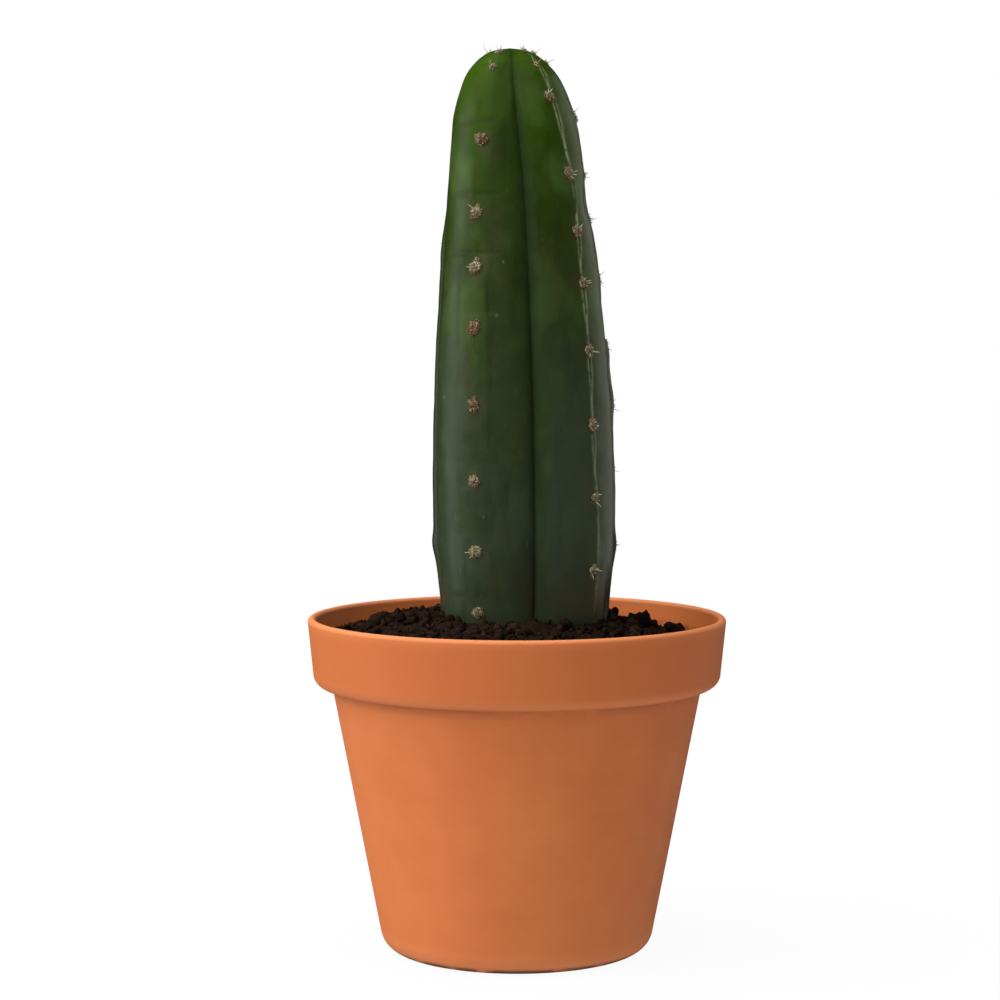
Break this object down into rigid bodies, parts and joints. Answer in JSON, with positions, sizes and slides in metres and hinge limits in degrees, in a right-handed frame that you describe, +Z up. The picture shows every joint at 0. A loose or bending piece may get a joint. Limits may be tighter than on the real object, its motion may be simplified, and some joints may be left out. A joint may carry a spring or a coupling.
{
  "type": "potted tall cactus",
  "caption": "Tall green ribbed cactus with short brown spines, standing in dark soil in a rimmed terracotta pot, for a shelf, sill or floor.",
  "frame": {"origin": "centre of the pot's underside, on the surface that it stands on", "axes": "+Z up along the pot's axis; the plant's front, with one furrow between two broad ribs, faces -Y; +X is to the right of that view"},
  "size_m": [0.17, 0.17, 0.3658],
  "materials": {
    "terracotta": "satin",
    "potting_soil": "matte",
    "cactus_skin": "satin"
  },
  "bodies": {
    "root": {"pot": "terracotta", "soil": "potting_soil", "cactus": "cactus_skin"}
  },
  "joints": []
}
